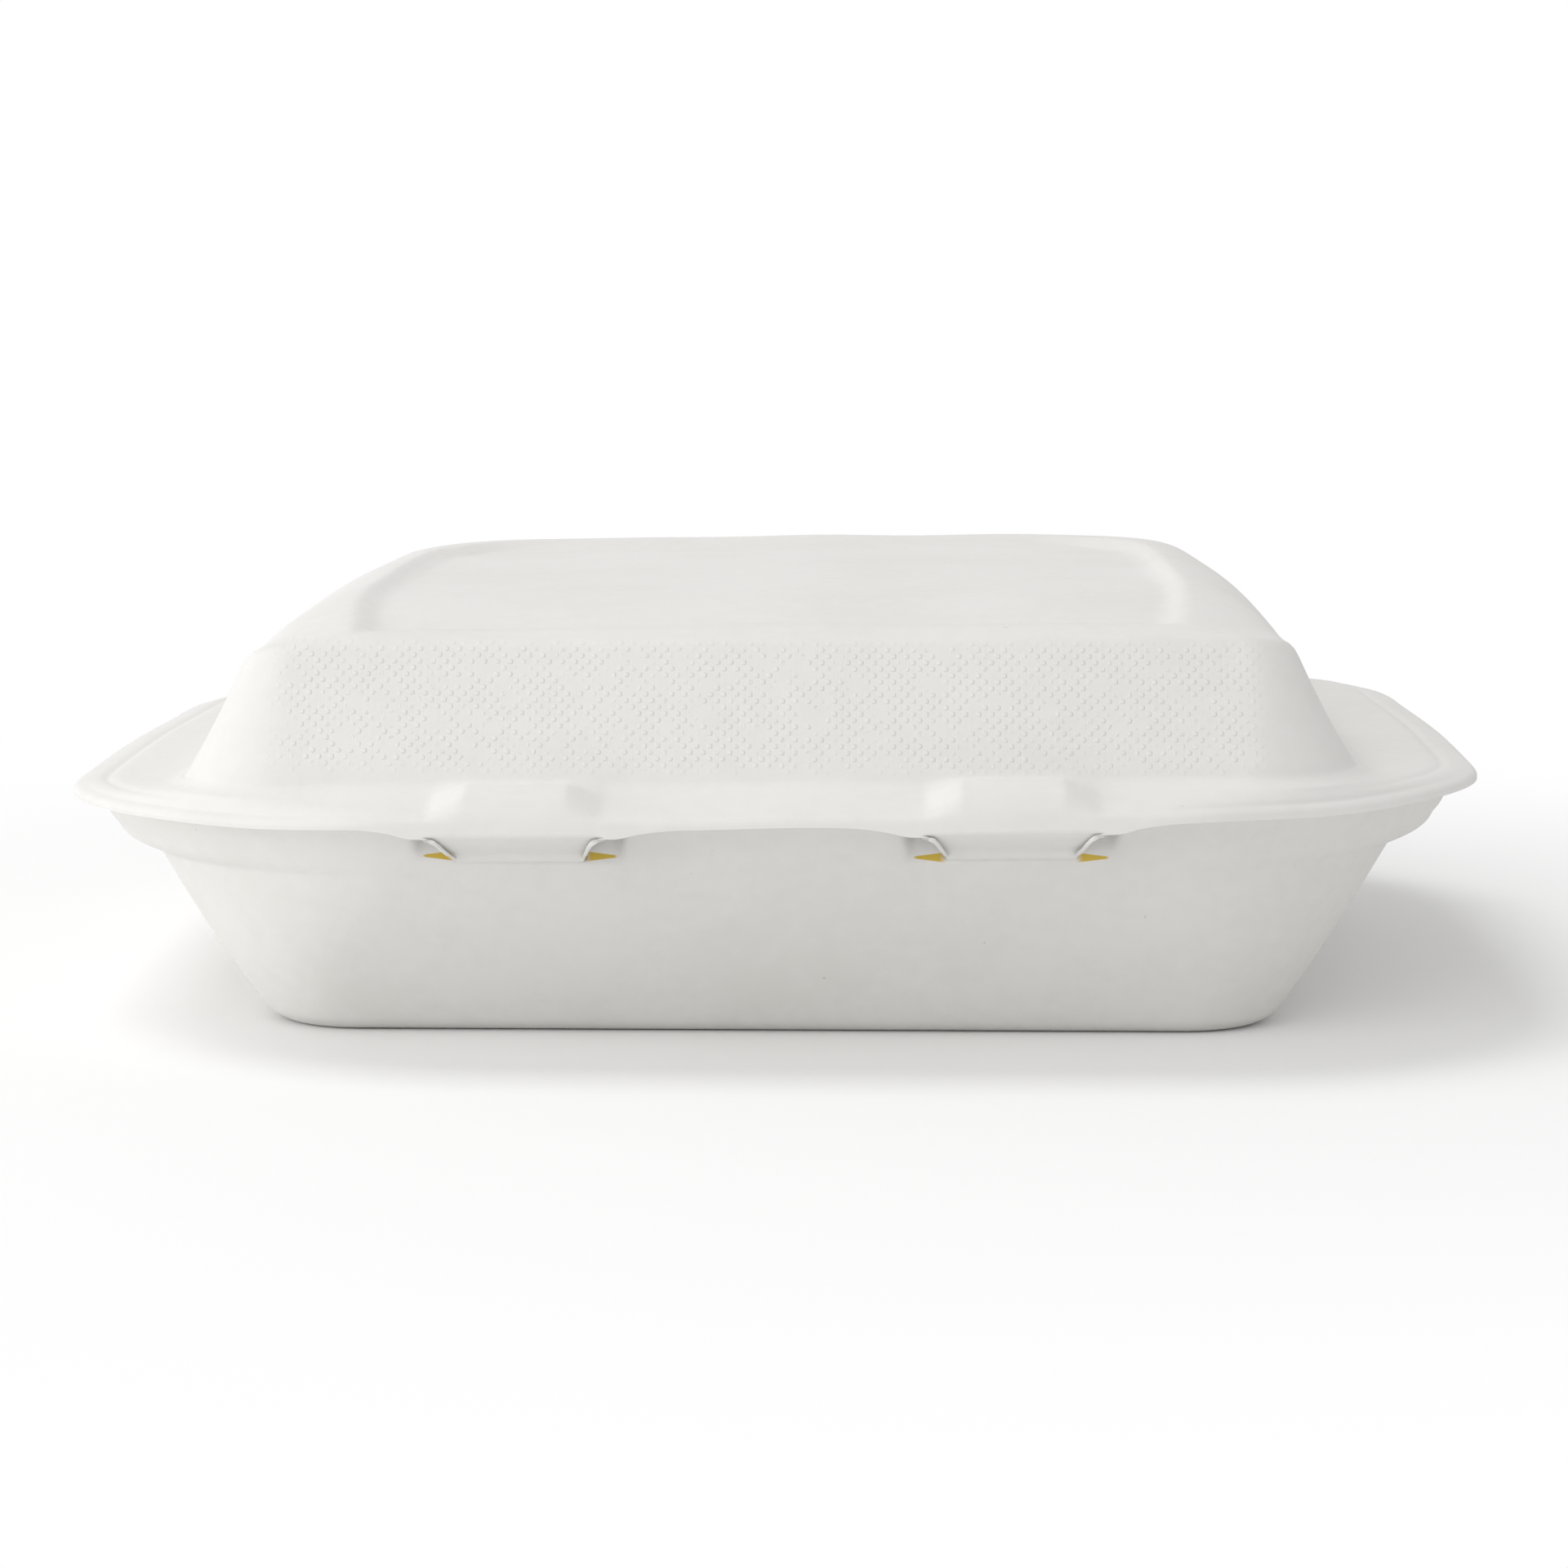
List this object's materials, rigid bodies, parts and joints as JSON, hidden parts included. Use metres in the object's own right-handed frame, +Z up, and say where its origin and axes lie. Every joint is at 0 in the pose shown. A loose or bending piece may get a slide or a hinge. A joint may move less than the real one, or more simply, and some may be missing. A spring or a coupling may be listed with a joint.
{
  "type": "hinged food container",
  "caption": "Square moulded-fibre clamshell container: tapered tray and domed lid hinged at the back, two tongue latches at the front.",
  "frame": {"origin": "centre of the floor of the closed container, on the surface it stands on", "axes": "+Z up through the lid, -Y towards the two latches, +Y towards the hinge, +X to the right as the latches are faced"},
  "size_m": [0.235, 0.235, 0.0721],
  "materials": {
    "tray_fibre": "uncoated moulded sugar cane fibre, matte and off-white",
    "lid_fibre": "uncoated moulded sugar cane fibre, matte and off-white, with a fine mesh mark on its front wall"
  },
  "bodies": {
    "tray": {"tray": "tray_fibre"},
    "lid": {"lid": "lid_fibre"}
  },
  "joints": [
    {"name": "lid_hinge", "type": "hinge", "parent": "tray", "child": "lid", "pos_m": [0, 0.11765, 0.039], "axis": [-1, 0, 0], "range_deg": [0, 180]}
  ]
}
